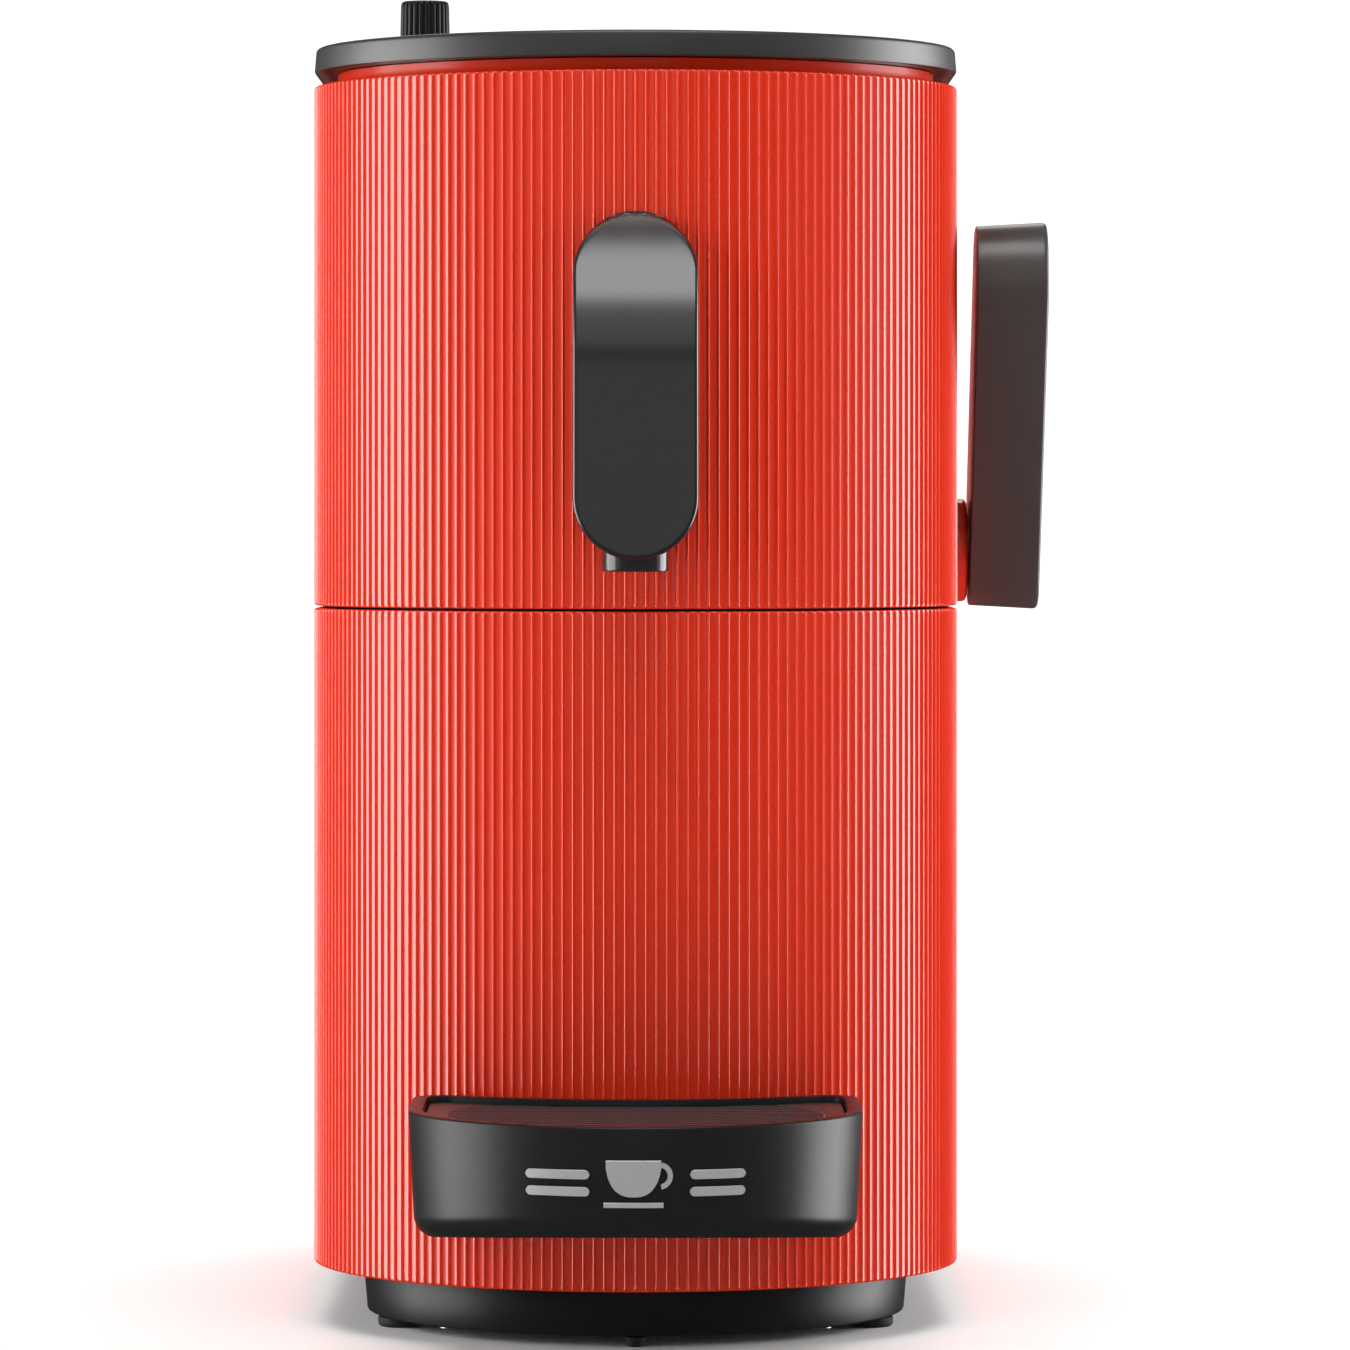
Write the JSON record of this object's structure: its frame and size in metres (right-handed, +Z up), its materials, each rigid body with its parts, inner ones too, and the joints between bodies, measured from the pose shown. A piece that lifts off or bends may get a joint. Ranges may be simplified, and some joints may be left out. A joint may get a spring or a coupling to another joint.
{
  "type": "espresso machine",
  "caption": "Compact espresso machine: ribbed oval body, side lever, front spout, magnetic drip tray, used-ball drawer and lidded water tank at the back.",
  "frame": {"origin": "middle of the assembly's footprint, on the surface it stands on", "axes": "+Z up, +Y from the spout and tray at the front towards the water tank, +X to the lever side"},
  "size_m": [0.1878, 0.4116, 0.342],
  "materials": {
    "red_body": "satin, fine grain, vertical ribs",
    "black_satin": "satin, fine grain",
    "black_gloss": "semi-gloss",
    "inner_plastic": "moulded, matte",
    "rubber": "matte",
    "silicone": "translucent satin",
    "smoked_clear": "smoked, see-through, glossy",
    "steel": "brushed",
    "bright_metal": "bright",
    "aluminium": "cast and machined",
    "brass": "machined",
    "board": "circuit board",
    "lens": "frosted"
  },
  "bodies": {
    "machine": {"base_plinth": "black_satin", "foot_front_left": "rubber", "foot_front_right": "rubber", "foot_rear_left": "rubber", "foot_rear_right": "rubber", "foot_front_center": "rubber", "floor_plate": "steel", "bulkhead": "inner_plastic", "mid_deck": "inner_plastic", "lower_rear_shell": "red_body", "upper_shell": "red_body", "top_collar": "red_body", "top_cover": "black_satin", "ball_funnel": "black_gloss", "status_lens": "lens", "spout_cover": "black_gloss", "outlet_nozzle": "black_satin", "outlet_pipe": "silicone", "brew_head": "inner_plastic", "group_frame": "steel", "guide_rod_left": "bright_metal", "guide_rod_right": "bright_metal", "ball_chute": "inner_plastic", "lever_boss": "red_body", "lever_bush": "brass", "control_board": "board", "thermoblock": "aluminium", "water_pump": "inner_plastic", "pump_bracket": "steel", "flow_meter": "inner_plastic", "suction_hose": "silicone", "pressure_hose": "silicone", "hot_water_hose": "silicone", "tank_base": "red_body", "tank_socket": "rubber", "rear_panel": "black_satin", "power_inlet": "black_gloss"},
    "lever": {"lever_arm": "black_satin", "lever_shaft": "steel", "lever_sector_gear": "steel"},
    "carriage": {"brew_carriage": "inner_plastic", "carriage_rack": "steel", "brew_piston": "aluminium", "piston_seal": "rubber", "ball_shutter": "black_gloss"},
    "selector": {"selector_knob": "black_satin", "selector_shaft": "steel"},
    "button": {"brew_button": "bright_metal"},
    "rocker": {"power_rocker": "black_gloss"},
    "tank": {"water_tank": "smoked_clear", "tank_valve": "black_satin", "lid_hinge_pin": "steel"},
    "lid": {"tank_lid": "black_satin"},
    "drawer": {"drawer_front": "red_body", "tray_keeper_strip": "steel"},
    "bin": {"used_ball_bin": "inner_plastic"},
    "tray_hanger": {"tray_magnet_plate": "black_satin"},
    "tray": {"drip_tray": "black_satin", "tray_badge": "bright_metal"},
    "grid": {"tray_grid": "black_gloss"}
  },
  "joints": [
    {"name": "lever_turn", "type": "hinge", "parent": "machine", "child": "lever", "pos_m": [0.0711, 0.00258, 0.1967], "axis": [-1, 0, 0], "range_deg": [0, 90]},
    {"name": "carriage_slide", "type": "slide", "parent": "machine", "child": "carriage", "axis": [0, 1, 0], "range_m": [0, 0.0409]},
    {"name": "selector_turn", "type": "hinge", "parent": "machine", "child": "selector", "pos_m": [-0.0672, 0.02258, 0.3219], "axis": [0, 0, 1], "range_deg": [-135, 135]},
    {"name": "button_press", "type": "slide", "parent": "machine", "child": "button", "axis": [0, 0, -1], "range_m": [0, 0.002], "stiffness_N_per_m": 400, "springref_m": -0.002},
    {"name": "power_rock", "type": "hinge", "parent": "machine", "child": "rocker", "pos_m": [0.0046, 0.19558, 0.04], "axis": [-1, 0, 0], "range_deg": [0, 16]},
    {"name": "tank_lift", "type": "slide", "parent": "machine", "child": "tank", "axis": [0, 0, 1], "range_m": [0, 0.06]},
    {"name": "lid_open", "type": "hinge", "parent": "tank", "child": "lid", "pos_m": [-0.0114, 0.14958, 0.3234], "axis": [1, 0, 0], "range_deg": [0, 85]},
    {"name": "drawer_pull", "type": "slide", "parent": "machine", "child": "drawer", "axis": [0, -1, 0], "range_m": [0, 0.13]},
    {"name": "bin_lift", "type": "slide", "parent": "drawer", "child": "bin", "axis": [0, 0, 1], "range_m": [0, 0.05]},
    {"name": "tray_height", "type": "slide", "parent": "drawer", "child": "tray_hanger", "axis": [0, 0, 1], "range_m": [0, 0.06]},
    {"name": "tray_pull", "type": "slide", "parent": "tray_hanger", "child": "tray", "axis": [0, -1, 0], "range_m": [0, 0.03]},
    {"name": "grid_lift", "type": "slide", "parent": "tray", "child": "grid", "axis": [0, 0, 1], "range_m": [0, 0.03]}
  ],
  "couplings": [
    {"joint": "carriage_slide", "follows": "lever_turn", "m_per_rad": 0.026}
  ]
}
